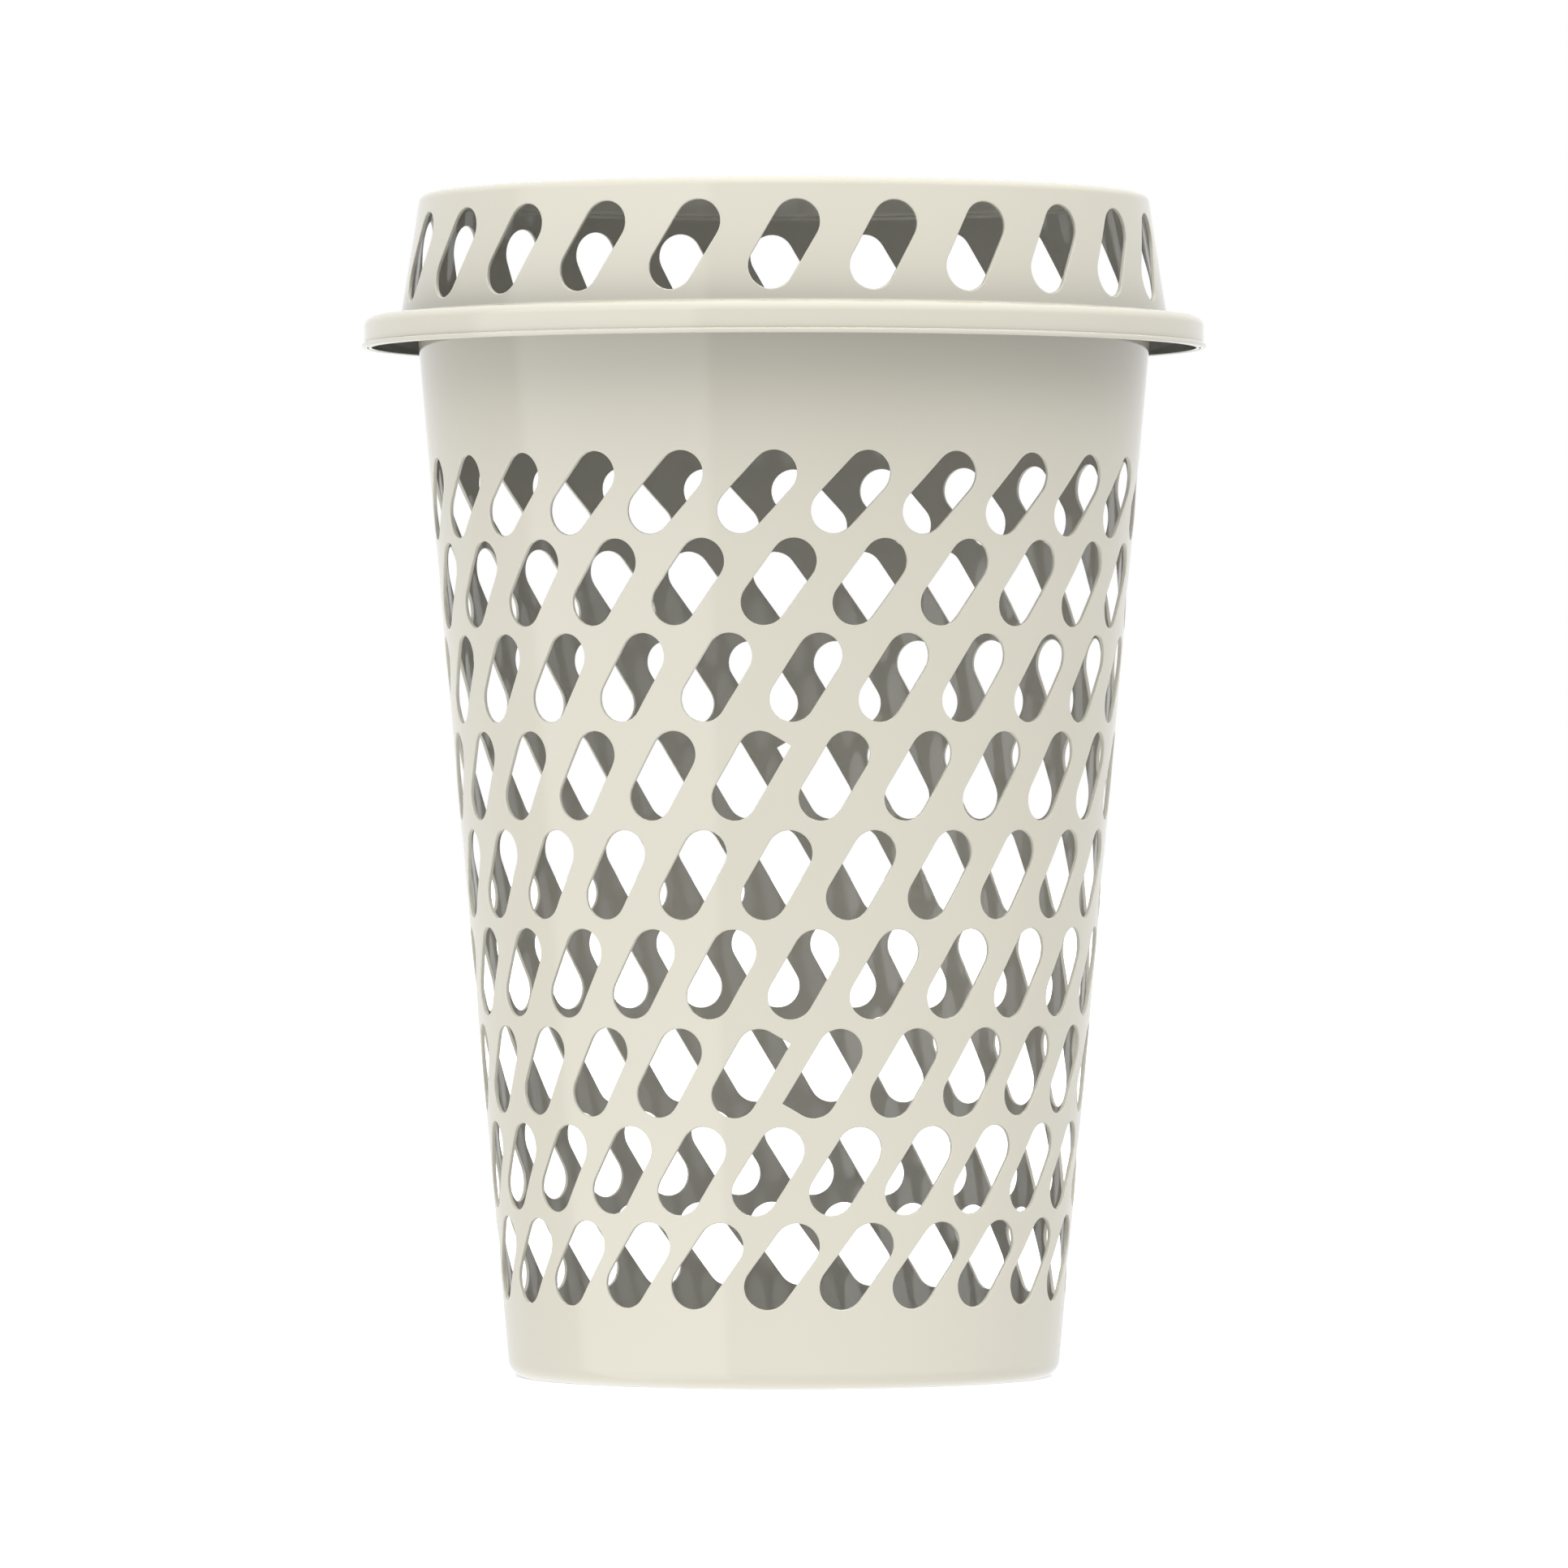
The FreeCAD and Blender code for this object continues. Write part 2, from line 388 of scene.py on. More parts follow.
@dataclass
class SlottedWall:
    """Band of a tapered wall that carries the slots: one column for each slot of a row, side by side.

    The points inside its faces lie a grid step apart. In grid steps, a line of them starts first_share from
    the column's left side, every second line is shifted by shift_share, and gap_share stays clear before the
    slots and the right side. A square corner keeps clear by square_share of the slot's width more.
    """

    cone: Cone
    thickness: float
    low: float
    high: float
    rows: list[SlotPlace]
    around_count: int
    slot: Slot = field(default_factory=Slot)
    square_corners: dict[tuple[int, int], SquareCorner] = field(default_factory=dict)
    grid: float = 6.5 * MM
    first_share: float = 0.6
    shift_share: float = 0.5
    gap_share: float = 0.55
    square_share: float = 0.25
    pitch_steps: int = 13

    @property
    def pitch(self) -> float:
        """Angle from one slot to the next."""
        return FULL_TURN / self.around_count

    @property
    def segments(self) -> int:
        """Flat segments in the full turn at the band's two edges."""
        return self.around_count * self.pitch_steps

    def seam(self, height: np.ndarray) -> np.ndarray:
        """Azimuth of the line between two neighbouring columns, which leans as the slots beside it do.

        Args:
            height: Heights.

        Returns:
            Azimuth of the first column's left side at each height.
        """
        heights: list[float] = []
        azimuths: list[float] = []
        for place in self.rows:
            half = self.slot.half_height(place.lean)
            swing = half / math.tan(place.lean) / float(self.cone.radius(place.height))
            heights += [place.height - half, place.height + half]
            azimuths += [place.azimuth - self.pitch / 2 - swing, place.azimuth - self.pitch / 2 + swing]
        return np.interp(height, heights, azimuths)

    def places(self, column: int) -> list[SlotPlace]:
        """Slots of one column, from the bottom row up.

        Args:
            column: Number of the column.

        Returns:
            One place for each row, with its square corner if it has one.
        """
        found: list[SlotPlace] = []
        for place in self.rows:
            azimuth = place.azimuth + column * self.pitch
            count = round(azimuth / self.pitch) % (self.around_count // 2)
            corner = self.square_corners.get((place.row, count), SquareCorner.NONE)
            found.append(SlotPlace(place.row, azimuth, place.height, place.lean, corner))
        return found

    def build_into(self, draft: MeshDraft) -> None:
        """Adds both faces of the band and the edges of every slot.

        Args:
            draft: Mesh to add them to.
        """
        for column in range(self.around_count):
            places = self.places(column)
            for place in places:
                self.add_slot_edge(draft, place)
            for side in Side:
                self.add_skin(draft, places, column, side)

    def add_slot_edge(self, draft: MeshDraft, place: SlotPlace) -> None:
        """Adds the rounded edges and the wall of one slot.

        Args:
            draft: Mesh to add them to.
            place: The slot.
        """
        outline, normals = self.slot.outline(place.corner)
        wall_normals = place.wall_normals(normals)
        rings: list[int] = []
        for side in Side:
            edge = self.slot.outer_edge if side is Side.OUTER else self.slot.inner_edge
            steps = self.slot.outer_steps if side is Side.OUTER else self.slot.inner_steps
            for step in range(steps + 1):
                angle = math.pi / 2 * step / steps
                if side is Side.OUTER:
                    spread, depth = edge * (1 - math.sin(angle)), edge * (1 - math.cos(angle))
                    skin_share, wall_share = math.cos(angle), math.sin(angle)
                else:
                    spread = edge * (1 - math.cos(angle))
                    depth = self.thickness - edge * (1 - math.sin(angle))
                    skin_share, wall_share = -math.sin(angle), math.cos(angle)
                radius, azimuth, height = place.ring(self.cone, outline + normals * spread, depth)
                ring_normals = skin_share * self.cone.normal(azimuth) + wall_share * wall_normals
                rings.append(draft.add_points(around(radius, azimuth, height), ring_normals))
        for outer, inner in zip(rings[:-1], rings[1:]):
            draft.join_rings(outer, inner, len(outline))

    def add_skin(self, draft: MeshDraft, places: list[SlotPlace], column: int, side: Side) -> None:
        """Adds one face of one column, with a hole for each slot.

        Args:
            draft: Mesh to add it to.
            places: The column's slots.
            column: Number of the column.
            side: Which face.
        """
        depth = 0.0 if side is Side.OUTER else self.thickness
        spread = self.slot.outer_edge if side is Side.OUTER else self.slot.inner_edge
        flat_radius = float(self.cone.radius((self.low + self.high) / 2))
        loops = [self.border(column)]
        for place in places:
            outline, normals = self.slot.outline(place.corner)
            _, azimuth, height = place.ring(self.cone, outline + normals * spread, depth)
            loops.append(np.stack([azimuth, height], axis=-1))
        inside = self.grid_points(places, column)
        spots = np.concatenate([*loops, inside])
        edges: list[tuple[int, int]] = []
        loop_of = np.full(len(spots), -1)
        first = 0
        for number, loop in enumerate(loops):
            size = len(loop)
            edges += [(first + i, first + (i + 1) % size) for i in range(size)]
            loop_of[first:first + size] = number
            first += size
        flat = [Vector((float(azimuth) * flat_radius, float(height))) for azimuth, height in spots]
        _, _, triangles, sources, _, _ = delaunay_2d_cdt(flat, edges, [], 0, SAME_SPOT)
        source = [found[0] for found in sources]
        azimuth, height = spots[:, 0], spots[:, 1]
        radius = self.cone.radius(height) - depth
        start = draft.add_points(around(radius, azimuth, height), side.value * self.cone.normal(azimuth))
        for triangle in triangles:
            corners = [source[index] for index in triangle]
            if self.is_solid(spots[corners], loop_of[corners], column):
                ordered = corners if side is Side.OUTER else corners[::-1]
                draft.faces.append(tuple(start + index for index in ordered))

    def border(self, column: int) -> np.ndarray:
        """Outline of a column, anticlockwise from its lower left corner.

        Args:
            column: Number of the column.

        Returns:
            One row of azimuth and height for each point.
        """
        steps = round((self.high - self.low) / self.grid)
        heights = np.linspace(self.low, self.high, steps + 1)
        left = self.seam(heights) + column * self.pitch
        shares = np.linspace(0, self.pitch, self.pitch_steps + 1)
        bottom = np.stack([left[0] + shares, np.full_like(shares, self.low)], axis=-1)
        top = np.stack([left[-1] + shares, np.full_like(shares, self.high)], axis=-1)
        rise = np.stack([left, heights], axis=-1)
        right = rise + np.array([self.pitch, 0.0])
        return np.concatenate([bottom[:-1], right[:-1], top[:0:-1], rise[:0:-1]])

    def grid_points(self, places: list[SlotPlace], column: int) -> np.ndarray:
        """Points spread over a column's solid stretches, clear of its border and its slots.

        Args:
            places: The column's slots.
            column: Number of the column.

        Returns:
            One row of azimuth and height for each point, every second line of them shifted sideways.
        """
        found: list[np.ndarray] = []
        heights = np.arange(self.low + self.grid, self.high - self.grid / 2, self.grid)
        for number, height in enumerate(heights):
            step = self.grid / float(self.cone.radius(height))
            start = float(self.seam(height)) + column * self.pitch
            first = start + step * (self.first_share + self.shift_share * (number % 2))
            azimuth = np.arange(first, start + self.pitch - self.gap_share * step, step)
            clear = np.ones(len(azimuth), bool)
            for place in places:
                sideways = np.sin(azimuth - place.azimuth) * self.cone.radius(height)
                upward = height - place.height
                cosine, sine = math.cos(place.lean), math.sin(place.lean)
                along = sideways * cosine + upward * sine
                across = upward * cosine - sideways * sine
                gap = self.slot.distance(along, across)
                if place.corner is not SquareCorner.NONE:
                    gap = gap - self.square_share * self.slot.width
                clear &= gap > self.gap_share * self.grid + self.slot.outer_edge
            found.append(np.stack([azimuth, np.full_like(azimuth, height)], axis=-1)[clear])
        return np.concatenate(found)

    def is_solid(self, spots: np.ndarray, loops: np.ndarray, column: int) -> bool:
        """Whether a triangle is plastic, and neither in a slot nor outside its column.

        A sliver on the line between two columns can be judged differently from its two sides. In a tall wall
        that leaves a few open edges, too small to see.

        Args:
            spots: The triangle's corners as azimuth and height.
            loops: Number of the loop that each corner lies on, -1 for none and 0 for the border.
            column: Number of the column.

        Returns:
            True for plastic.
        """
        if loops[0] > 0 and loops[0] == loops[1] == loops[2]:
            return False
        middle = spots.mean(axis=0)
        left = float(self.seam(middle[1])) + column * self.pitch
        return left < middle[0] < left + self.pitch


@dataclass(frozen=True)
class MouldedPlastic:
    """Cream polypropylene from a polished mould, with the faint unevenness of a large thin moulding.

    The spans are the stretches of a noise, from 0 to 1, over which the colour and the roughness change.
    """

    name: str
    colour: tuple[float, float, float] = (0.795, 0.768, 0.655)
    deep_colour: tuple[float, float, float] = (0.775, 0.747, 0.628)
    cloud_scale: float = 5.0
    cloud_detail: float = 3.0
    cloud_span: tuple[float, float] = (0.3, 0.6)
    grain_scale: float = 1400.0
    grain_detail: float = 1.0
    grain_depth: float = 0.0004 * MM
    wave_scale: float = 22.0
    wave_detail: float = 2.0
    wave_depth: float = 0.012 * MM
    gloss_span: tuple[float, float] = (0.3, 0.7)
    smoothest: float = 0.03
    roughest: float = 0.06
    refraction: float = 1.49

    def make(self) -> bpy.types.Material:
        """Builds the material's nodes.

        Returns:
            The material.
        """
        material = bpy.data.materials.new(self.name)
        material.use_nodes = True
        tree = material.node_tree
        shader = tree.nodes["Principled BSDF"]
        shader.inputs["IOR"].default_value = self.refraction
        place = tree.nodes.new("ShaderNodeTexCoord")
        clouds = self.noise(tree, place, self.cloud_scale, self.cloud_detail)
        blend = tree.nodes.new("ShaderNodeValToRGB")
        colours = (self.deep_colour, self.colour)
        for stop, position, colour in zip(blend.color_ramp.elements, self.cloud_span, colours):
            stop.color = (*colour, 1.0)
            stop.position = position
        tree.links.new(clouds.outputs["Fac"], blend.inputs["Fac"])
        tree.links.new(blend.outputs["Color"], shader.inputs["Base Color"])
        patches = self.noise(tree, place, self.wave_scale, self.wave_detail)
        gloss = tree.nodes.new("ShaderNodeMapRange")
        gloss.inputs["From Min"].default_value = self.gloss_span[0]
        gloss.inputs["From Max"].default_value = self.gloss_span[1]
        gloss.inputs["To Min"].default_value = self.smoothest
        gloss.inputs["To Max"].default_value = self.roughest
        tree.links.new(patches.outputs["Fac"], gloss.inputs["Value"])
        tree.links.new(gloss.outputs["Result"], shader.inputs["Roughness"])
        waves = self.bump(tree, patches, self.wave_depth)
        specks = self.noise(tree, place, self.grain_scale, self.grain_detail)
        grain = self.bump(tree, specks, self.grain_depth)
        tree.links.new(waves.outputs["Normal"], grain.inputs["Normal"])
        tree.links.new(grain.outputs["Normal"], shader.inputs["Normal"])
        return material

    def noise(
        self, tree: bpy.types.NodeTree, place: bpy.types.Node, scale: float, detail: float
    ) -> bpy.types.Node:
        """Adds a noise texture fixed to the piece.

        Args:
            tree: The material's nodes.
            place: Texture coordinates.
            scale: Features to the metre.
            detail: Octaves of finer noise.

        Returns:
            The noise node.
        """
        node = tree.nodes.new("ShaderNodeTexNoise")
        node.inputs["Scale"].default_value = scale
        node.inputs["Detail"].default_value = detail
        tree.links.new(place.outputs["Object"], node.inputs["Vector"])
        return node

    def bump(self, tree: bpy.types.NodeTree, source: bpy.types.Node, depth: float) -> bpy.types.Node:
        """Adds a bump node of a real depth.

        Args:
            tree: The material's nodes.
            source: Noise that drives it.
            depth: Its depth in metres.

        Returns:
            The bump node.
        """
        node = tree.nodes.new("ShaderNodeBump")
        node.inputs["Strength"].default_value = 1.0
        node.inputs["Distance"].default_value = depth
        tree.links.new(source.outputs["Fac"], node.inputs["Height"])
        return node


def level(node: str) -> tuple[float, float]:
    """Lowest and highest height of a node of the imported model."""
    low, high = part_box(node)
    return low.z, high.z


def reach(node: str) -> float:
    """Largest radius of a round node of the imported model."""
    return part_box(node)[1].x


def dress(piece: bpy.types.Object, body: str, finish: MouldedPlastic, nodes: list[str]) -> None:
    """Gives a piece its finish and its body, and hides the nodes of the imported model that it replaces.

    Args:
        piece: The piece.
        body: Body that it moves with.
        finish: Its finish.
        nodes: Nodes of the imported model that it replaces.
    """
    piece.data.materials.append(finish.make())
    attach(piece, body)
    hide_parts(*nodes)


@dataclass
class Tub:
    """The tub: floor, rounded foot, slotted wall, and a flange with a turned-down skirt, all one moulding."""

    taper: float = 0.0885
    sheet: float = 2.0 * MM
    foot_bend: float = 9.0 * MM
    floor_bend: float = 6.0 * MM
    step_bend: float = 0.9 * MM
    ring_width: float = 2.0 * MM
    gap_bend: float = 2.0 * MM
    rim_bend: float = 4.0 * MM
    skirt_thickness: float = 1.8 * MM
    lip_bend: float = 0.6 * MM
    bottom_row_height: float = 61.3 * MM
    bottom_row_azimuth: float = math.radians(-0.4)
    row_count: int = 9
    row_pitch: float = 56.85 * MM
    steepest_lean: float = 60.0
    straightest_row: float = 5.5
    lean_loss: float = 0.139
    slots_around: int = 24
    margin: float = 5.0 * MM

    @property
    def cone(self) -> Cone:
        """Outer surface of the wall."""
        top = level("tub_wall")[1]
        return Cone(reach("tub_wall") - self.taper * top, self.taper)

    def lean(self, row: float) -> float:
        """Lean of the slot line from level, at a row or half way between two."""
        return math.radians(self.steepest_lean - self.lean_loss * abs(row - self.straightest_row) ** 3)

    def rows(self) -> list[SlotPlace]:
        """First slot of every row, from the bottom row up along one leaning line."""
        height, azimuth = self.bottom_row_height, self.bottom_row_azimuth
        found: list[SlotPlace] = []
        for row in range(self.row_count, 0, -1):
            found.append(SlotPlace(row, azimuth, height, self.lean(row)))
            step_lean = self.lean(row - 0.5)
            rise = self.row_pitch * math.sin(step_lean)
            azimuth += self.row_pitch * math.cos(step_lean) / float(self.cone.radius(height + rise / 2))
            height += rise
        return found

    def wall(self) -> SlottedWall:
        """The slotted band of the wall."""
        rows = self.rows()
        corners = {
            (4, 0): SquareCorner.UPPER_RIGHT,
            (7, 0): SquareCorner.UPPER_RIGHT,
            (7, 1): SquareCorner.LOWER_LEFT,
        }
        slot = Slot()
        low = rows[0].height - slot.half_height(rows[0].lean) - self.margin
        high = rows[-1].height + slot.half_height(rows[-1].lean) + self.margin
        return SlottedWall(self.cone, self.sheet, low, high, rows, self.slots_around, slot, corners)

    def sections(self, low: float, high: float) -> tuple[Section, Section, Section]:
        """The unslotted stretches.

        Args:
            low: Lower edge of the slotted band.
            high: Upper edge of the slotted band.

        Returns:
            Outside below the slots, rim above them, and inside below them.
        """
        cone = self.cone
        ring = reach("tub_floor")
        floor_low, floor_top = level("tub_floor")
        flange_top = level("tub_flange")[1]
        skirt_low = level("tub_skirt")[0]
        skirt_out = reach("tub_skirt")
        skirt_in = skirt_out - self.skirt_thickness
        flange_low = flange_top - self.sheet
        outside = Section((
            Corner(0, floor_low),
            Corner(ring, floor_low, self.step_bend),
            Corner(ring + self.ring_width, 0, self.step_bend),
            Corner(cone.radius(0), 0, self.foot_bend),
            Corner(cone.radius(low), low),
        ))
        rim = Section((
            Corner(cone.radius(high), high),
            Corner(cone.radius(flange_low), flange_low, self.gap_bend),
            Corner(skirt_in, flange_low, self.gap_bend),
            Corner(skirt_in, skirt_low, self.lip_bend),
            Corner(skirt_out, skirt_low, self.lip_bend),
            Corner(skirt_out, flange_top, self.rim_bend),
            Corner(cone.radius(flange_top) - self.sheet, flange_top, self.gap_bend + self.sheet),
            Corner(cone.radius(high) - self.sheet, high),
        ))
        inside = Section((
            Corner(cone.radius(low) - self.sheet, low),
            Corner(cone.radius(floor_top) - self.sheet, floor_top, self.floor_bend),
            Corner(0, floor_top),
        ))
        return outside, rim, inside

    def build(self) -> bpy.types.Object:
        """Builds the whole tub as one moulding.

        Returns:
            The piece.
        """
        draft = MeshDraft()
        wall = self.wall()
        wall.build_into(draft)
        outside, rim, inside = self.sections(wall.low, wall.high)
        low_phase, high_phase = float(wall.seam(wall.low)), float(wall.seam(wall.high))
        outside.turn_into(draft, wall.segments, low_phase)
        rim.turn_into(draft, wall.segments, high_phase)
        inside.turn_into(draft, wall.segments, low_phase)
        piece = draft.to_object("tub_moulding")
        nodes = ["tub_floor", "tub_foot", "tub_wall", "tub_flange", "tub_skirt"]
        dress(piece, "tub", MouldedPlastic("cream_tub_plastic"), nodes)
        return piece


@dataclass
class Lid:
    """The lid: flat top, slotted crown wall, and a flange with a skirt that goes over the tub's rim."""

    taper: float = -0.1565
    sheet: float = 2.0 * MM
    top_bend: float = 4.5 * MM
    crown_bend: float = 2.0 * MM
    rim_bend: float = 5.0 * MM
    rim_inner_bend: float = 3.0 * MM
    skirt_thickness: float = 1.6 * MM
    bead_stand: float = 1.2 * MM
    bead_height: float = 2.4 * MM
    bead_bend: float = 0.9 * MM
    groove_bend: float = 0.25 * MM
    lip_bend: float = 0.5 * MM
    row_height: float = 566.6 * MM
    lean: float = math.radians(60.0)
    slots_around: int = 24
    margin: float = 2.6 * MM

    @property
    def cone(self) -> Cone:
        """Outer surface of the crown wall."""
        bottom = level("lid_crown_wall")[0]
        return Cone(reach("lid_crown_wall") - self.taper * bottom, self.taper)

    def wall(self) -> SlottedWall:
        """The slotted band of the crown."""
        slot = Slot()
        half = slot.half_height(self.lean) + self.margin
        rows = [SlotPlace(1, 0.0, self.row_height, self.lean)]
        low, high = self.row_height - half, self.row_height + half
        return SlottedWall(self.cone, self.sheet, low, high, rows, self.slots_around, slot)

    def sections(self, low: float, high: float) -> tuple[Section, Section]:
        """The unslotted stretches.

        Args:
            low: Lower edge of the slotted band.
            high: Upper edge of the slotted band.

        Returns:
            The rim below the slots, and the top above them.
        """
        cone = self.cone
        flange_top = level("lid_skirt")[1]
        flange_low = flange_top - self.sheet
        skirt_low = level("lid_skirt")[0]
        bead_out = reach("lid_skirt")
        skirt_out = bead_out - self.bead_stand
        skirt_in = skirt_out - self.skirt_thickness
        bead_top = skirt_low + self.bead_height
        top_low, top = level("lid_top")
        rim = Section((
            Corner(cone.radius(low) - self.sheet, low),
            Corner(cone.radius(flange_low) - self.sheet, flange_low, self.crown_bend + self.sheet),
            Corner(skirt_in, flange_low, self.rim_inner_bend),
            Corner(skirt_in, skirt_low, self.lip_bend),
            Corner(bead_out, skirt_low, self.bead_bend),
            Corner(bead_out, bead_top, self.bead_bend),
            Corner(skirt_out, bead_top, self.groove_bend),
            Corner(skirt_out, flange_top, self.rim_bend),
            Corner(cone.radius(flange_top), flange_top, self.crown_bend),
            Corner(cone.radius(low), low),
        ))
        crown = Section((
            Corner(cone.radius(high), high),
            Corner(cone.radius(top), top, self.top_bend),
            Corner(0, top),
        ))
        under = Section((
            Corner(0, top_low),
            Corner(cone.radius(top_low) - self.sheet, top_low, self.top_bend - self.sheet),
            Corner(cone.radius(high) - self.sheet, high),
        ))
        return rim, crown, under

    def build(self) -> bpy.types.Object:
        """Builds the whole lid as one moulding.

        Returns:
            The piece.
        """
        draft = MeshDraft()
        wall = self.wall()
        wall.build_into(draft)
        rim, crown, under = self.sections(wall.low, wall.high)
        low_phase, high_phase = float(wall.seam(wall.low)), float(wall.seam(wall.high))
        rim.turn_into(draft, wall.segments, low_phase)
        crown.turn_into(draft, wall.segments, high_phase)
        under.turn_into(draft, wall.segments, high_phase)
        piece = draft.to_object("lid_moulding")
        nodes = ["lid_top", "lid_shoulder", "lid_crown_wall", "lid_flange", "lid_skirt"]
        dress(piece, "lid", MouldedPlastic("cream_lid_plastic"), nodes)
        return piece


@dataclass(frozen=True)
class Softbox:
    """Large soft panel at the front left, seen only as a reflection, with its reach as angles."""

    left: float = math.radians(-93)
    right: float = math.radians(-24)
    low: float = math.radians(-51)
    high: float = math.radians(40)
    soft_edge: float = math.radians(4)
    right_soft_edge: float = math.radians(2)
    brightness: float = 1.0


@dataclass
class ShaderSketch:
    """Short ways to add nodes to a shader's tree."""

    tree: bpy.types.NodeTree

    def combine(
        self,
        operation: str,
        first: bpy.types.NodeSocket | float,
        second: bpy.types.NodeSocket | float = 0.0,
    ) -> bpy.types.NodeSocket:
        """Adds a math node.

        Args:
            operation: Its operation.
            first: A socket or a number.
            second: A socket or a number.

        Returns:
            The node's result.
        """
        node = self.tree.nodes.new("ShaderNodeMath")
        node.operation = operation
        for index, value in enumerate((first, second)):
            if isinstance(value, bpy.types.NodeSocket):
                self.tree.links.new(value, node.inputs[index])
            else:
                node.inputs[index].default_value = value
        return node.outputs[0]

    def ease(
        self, value: bpy.types.NodeSocket, start: float, end: float, low: float, high: float
    ) -> bpy.types.NodeSocket:
        """Adds a smooth step.

        Args:
            value: What the step follows.
            start: Value at which the step begins.
            end: Value at which it ends.
            low: Result before the step.
            high: Result after it.

        Returns:
            The node's result.
        """
        node = self.tree.nodes.new("ShaderNodeMapRange")
        node.interpolation_type = "SMOOTHSTEP"
        self.tree.links.new(value, node.inputs["Value"])
        for name, number in (("From Min", start), ("From Max", end), ("To Min", low), ("To Max", high)):
            node.inputs[name].default_value = number
        return node.outputs["Result"]


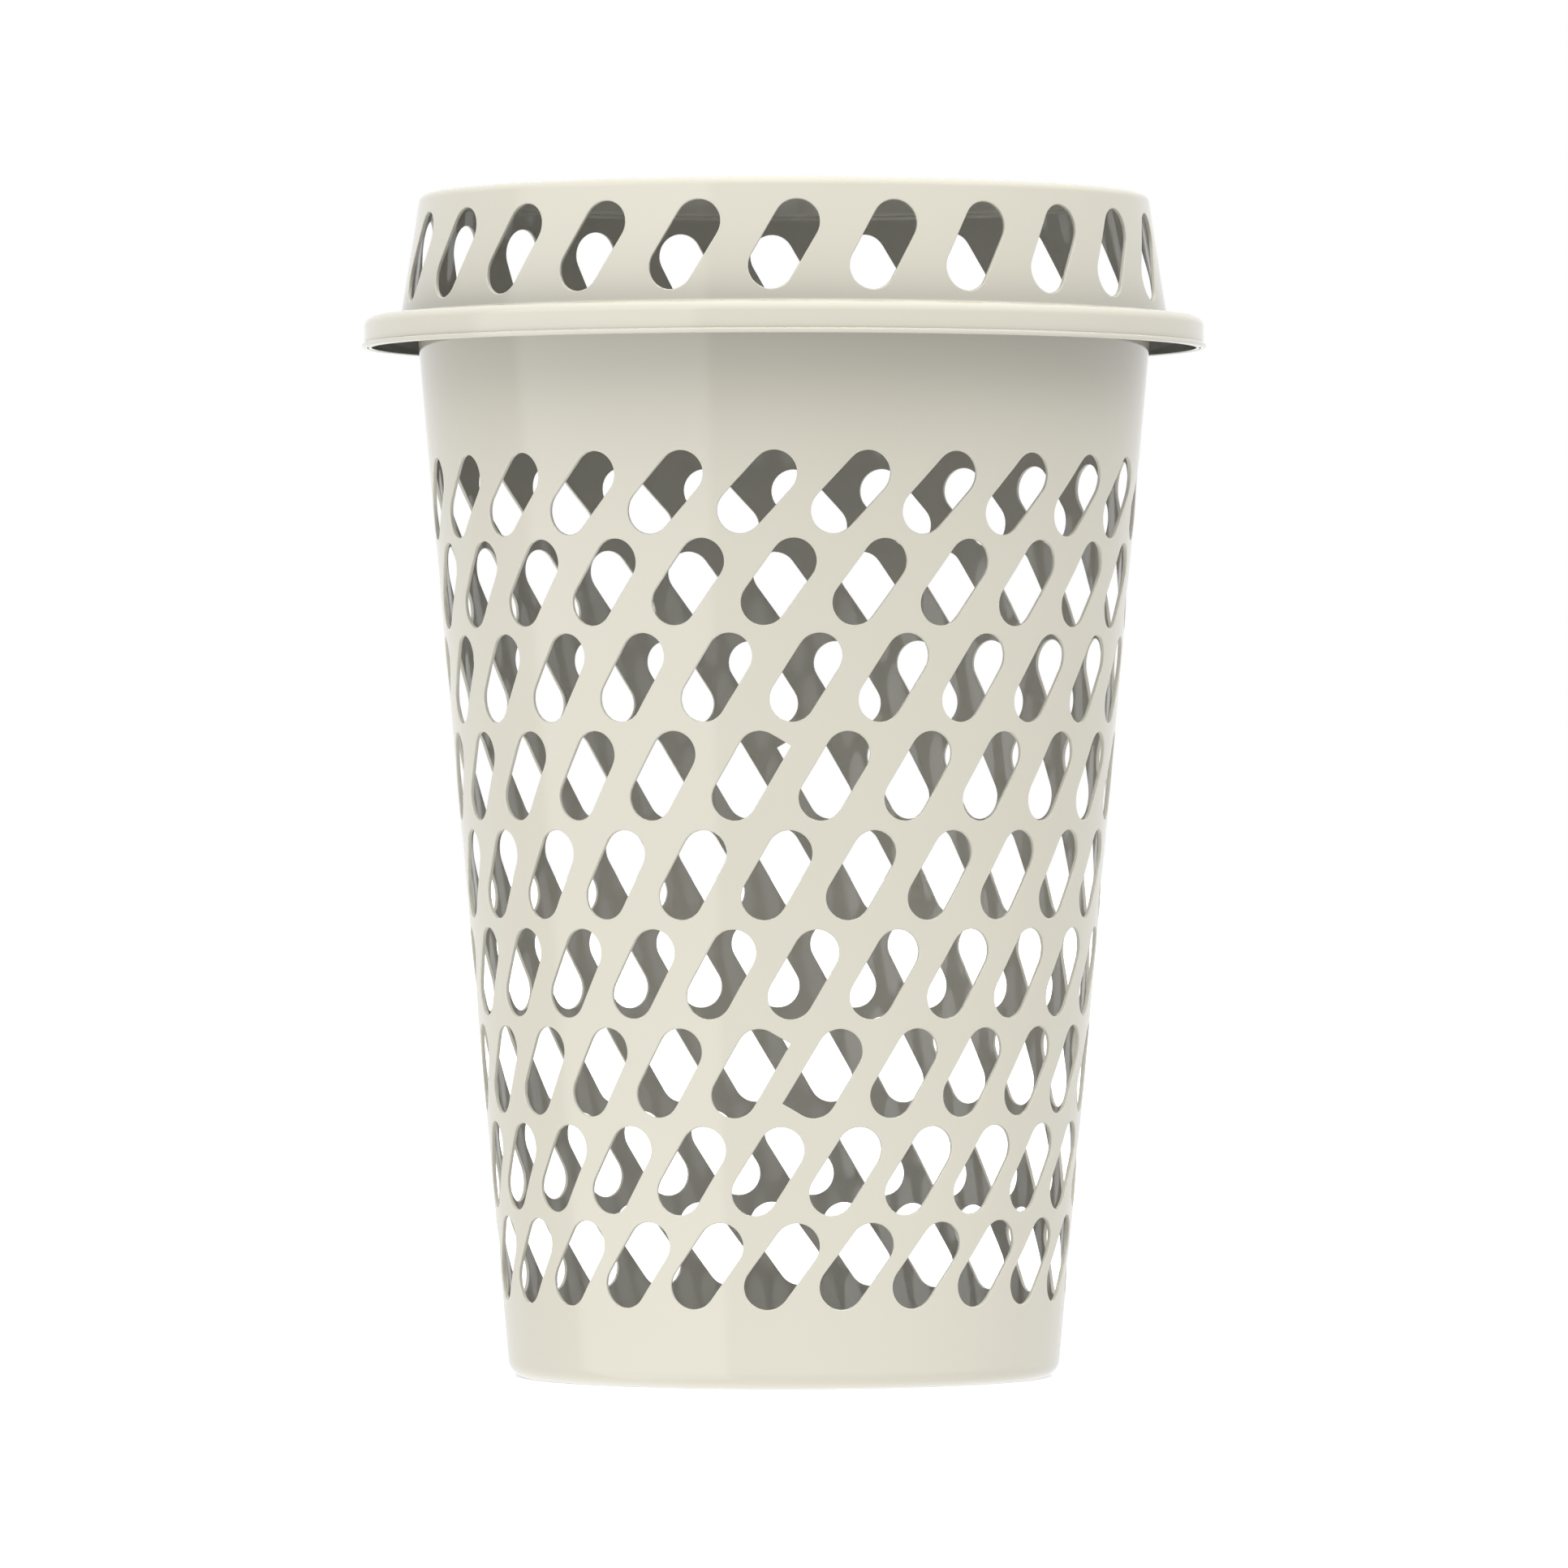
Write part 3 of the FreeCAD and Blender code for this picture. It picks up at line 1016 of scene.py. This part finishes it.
@dataclass
class Studio:
    """Pale floor, white surroundings that are brightest overhead, a softbox, a low fill and the camera.

    The sky is a list of how far up a way points, from -1 to 1, and the brightness that comes from there.
    """

    floor_size: float = 60.0
    floor_colour: float = 0.9
    floor_glow: float = 0.75
    sky_scale: float = 4.0
    sky: tuple[tuple[float, float], ...] = (
        (-1.0, 1.10),
        (-0.45, 1.02),
        (-0.15, 0.42),
        (0.12, 0.28),
        (0.37, 0.42),
        (0.60, 1.30),
        (0.78, 2.45),
        (0.92, 2.85),
    )
    back_loss: float = 0.95
    back_start: float = -0.10
    back_end: float = 0.45
    overhead_band: float = 0.12
    low_tilt: float = -0.30
    high_tilt: float = 0.16
    tilt_band: float = 0.30
    reflected_white: float = 1.0
    softbox: Softbox = field(default_factory=Softbox)
    fill_size: tuple[float, float] = (2.2, 0.5)
    fill_power: float = 1.1
    fill_place: tuple[float, float, float] = (0.0, -0.62, -0.35)
    fill_tilt: float = math.radians(30)
    camera_distance: float = 5.752
    frame_width: float = 0.7975
    eye_share: float = 0.5012
    sensor: float = 36.0
    clip: tuple[float, float] = (0.1, 200.0)

    def build_floor(self) -> bpy.types.Object:
        """Makes the floor, which takes shadows and shows to the camera alone.

        Returns:
            The floor.
        """
        half = self.floor_size / 2
        corners = [(-half, -half, 0), (half, -half, 0), (half, half, 0), (-half, half, 0)]
        mesh = bpy.data.meshes.new("studio_floor")
        mesh.from_pydata(corners, [], [(0, 1, 2, 3)])
        floor = bpy.data.objects.new("studio_floor", mesh)
        bpy.context.scene.collection.objects.link(floor)
        material = bpy.data.materials.new("studio_floor_paint")
        material.use_nodes = True
        shader = material.node_tree.nodes["Principled BSDF"]
        grey = self.floor_colour
        shader.inputs["Base Color"].default_value = (grey, grey, grey, 1.0)
        shader.inputs["Roughness"].default_value = 1.0
        shader.inputs["Specular IOR Level"].default_value = 0.0
        shader.inputs["Emission Color"].default_value = (1.0, 1.0, 1.0, 1.0)
        shader.inputs["Emission Strength"].default_value = self.floor_glow
        material.cycles.emission_sampling = "NONE"
        floor.data.materials.append(material)
        floor.visible_diffuse = False
        floor.visible_glossy = False
        floor.visible_transmission = False
        floor.visible_shadow = False
        return floor

    def build_surroundings(self) -> None:
        """Makes the white surroundings, which light the hamper directly and not by bounces."""
        world = bpy.data.worlds.new("studio_white")
        world.use_nodes = True
        world.cycles.sampling_method = "NONE"
        tree = world.node_tree
        sketch = ShaderSketch(tree)
        place = tree.nodes.new("ShaderNodeTexCoord")
        split = tree.nodes.new("ShaderNodeSeparateXYZ")
        tree.links.new(place.outputs["Generated"], split.inputs["Vector"])
        ray = tree.nodes.new("ShaderNodeLightPath")
        diffuse = sketch.combine("MULTIPLY", self.sky_light(sketch, split), ray.outputs["Is Diffuse Ray"])
        reflected = sketch.combine("ADD", self.softbox_light(sketch, split), self.reflected_white)
        glossy = sketch.combine("MULTIPLY", reflected, ray.outputs["Is Glossy Ray"])
        lit = sketch.combine("ADD", diffuse, glossy)
        strength = sketch.combine("ADD", lit, ray.outputs["Is Camera Ray"])
        background = tree.nodes["Background"]
        background.inputs["Color"].default_value = (1.0, 1.0, 1.0, 1.0)
        tree.links.new(strength, background.inputs["Strength"])
        bpy.context.scene.world = world
        bpy.context.scene.cycles.diffuse_bounces = 0

    def sky_light(self, sketch: ShaderSketch, way: bpy.types.Node) -> bpy.types.NodeSocket:
        """Brightness of the surroundings, by how far up, right and back a way points.

        Args:
            sketch: The world's nodes.
            way: Node with the parts of the way.

        Returns:
            The brightness.
        """
        ramp = sketch.tree.nodes.new("ShaderNodeValToRGB")
        ramp.color_ramp.interpolation = "EASE"
        stops = ramp.color_ramp.elements
        while len(stops) < len(self.sky):
            stops.new(0.5)
        for stop, (rise, brightness) in zip(stops, self.sky):
            share = brightness / self.sky_scale
            stop.position = (rise + 1) / 2
            stop.color = (share, share, share, 1.0)
        up = way.outputs["Z"]
        position = sketch.combine("ADD", sketch.combine("MULTIPLY", up, 0.5), 0.5)
        sketch.tree.links.new(position, ramp.inputs["Fac"])
        tilt = sketch.ease(up, -self.tilt_band, self.tilt_band, self.low_tilt, self.high_tilt)
        lean = sketch.combine("ADD", sketch.combine("MULTIPLY", tilt, way.outputs["X"]), 1.0)
        behind = sketch.ease(way.outputs["Y"], self.back_start, self.back_end, 0.0, self.back_loss)
        overhead = sketch.ease(up, -self.overhead_band, self.overhead_band, 0.0, 1.0)
        kept = sketch.combine("SUBTRACT", 1.0, sketch.combine("MULTIPLY", behind, overhead))
        level_sky = sketch.combine("MULTIPLY", ramp.outputs["Color"], self.sky_scale)
        return sketch.combine("MULTIPLY", sketch.combine("MULTIPLY", level_sky, lean), kept)

    def softbox_light(self, sketch: ShaderSketch, way: bpy.types.Node) -> bpy.types.NodeSocket:
        """Brightness that the softbox adds.

        Args:
            sketch: The world's nodes.
            way: Node with the parts of the way.

        Returns:
            The added brightness.
        """
        box = self.softbox
        forward = sketch.combine("MULTIPLY", way.outputs["Y"], -1.0)
        azimuth = sketch.combine("ARCTAN2", way.outputs["X"], forward)
        rise = sketch.combine("ARCSINE", way.outputs["Z"])
        sides = sketch.combine(
            "MULTIPLY",
            sketch.ease(azimuth, box.left - box.soft_edge, box.left + box.soft_edge, 0.0, 1.0),
            sketch.ease(azimuth, box.right - box.right_soft_edge, box.right + box.right_soft_edge, 1.0, 0.0),
        )
        ends = sketch.combine(
            "MULTIPLY",
            sketch.ease(rise, box.low - box.soft_edge, box.low + box.soft_edge, 0.0, 1.0),
            sketch.ease(rise, box.high - box.soft_edge, box.high + box.soft_edge, 1.0, 0.0),
        )
        return sketch.combine("MULTIPLY", sketch.combine("MULTIPLY", sides, ends), box.brightness)

    def build_fill(self) -> bpy.types.Object:
        """Makes the low panel in front, which lifts the foot more than the rim.

        Returns:
            The light.
        """
        panel = bpy.data.lights.new("studio_fill", "AREA")
        panel.shape = "RECTANGLE"
        panel.size, panel.size_y = self.fill_size
        panel.energy = self.fill_power
        fill = bpy.data.objects.new("studio_fill", panel)
        fill.location = self.fill_place
        fill.rotation_euler = (math.pi / 2 + self.fill_tilt, 0.0, 0.0)
        fill.visible_camera = False
        fill.visible_glossy = False
        bpy.context.scene.collection.objects.link(fill)
        return fill

    def build_camera(self, height: float) -> None:
        """Places the camera level with the middle of the hamper.

        Args:
            height: Height of the whole hamper.
        """
        lens = bpy.data.cameras.new("camera")
        lens.sensor_width = self.sensor
        lens.lens = self.sensor * self.camera_distance / self.frame_width
        lens.clip_start, lens.clip_end = self.clip
        camera = bpy.data.objects.new("camera", lens)
        camera.location = (0.0, -self.camera_distance, height * self.eye_share)
        camera.rotation_euler = (math.pi / 2, 0.0, 0.0)
        bpy.context.scene.collection.objects.link(camera)
        bpy.context.scene.camera = camera


def main() -> None:
    """Builds the studio and the two mouldings in order, and reports each piece."""
    logging.basicConfig(level=logging.INFO, format="%(name)s: %(message)s")
    bpy.context.scene.view_settings.view_transform = "Standard"
    studio = Studio()
    studio.build_camera(cad_box[1].z)
    studio.build_surroundings()
    studio.build_floor()
    studio.build_fill()
    for moulding in (Tub(), Lid()):
        piece = moulding.build()
        log.info("%s is ready", piece.name)


if __name__ == "__main__":
    main()
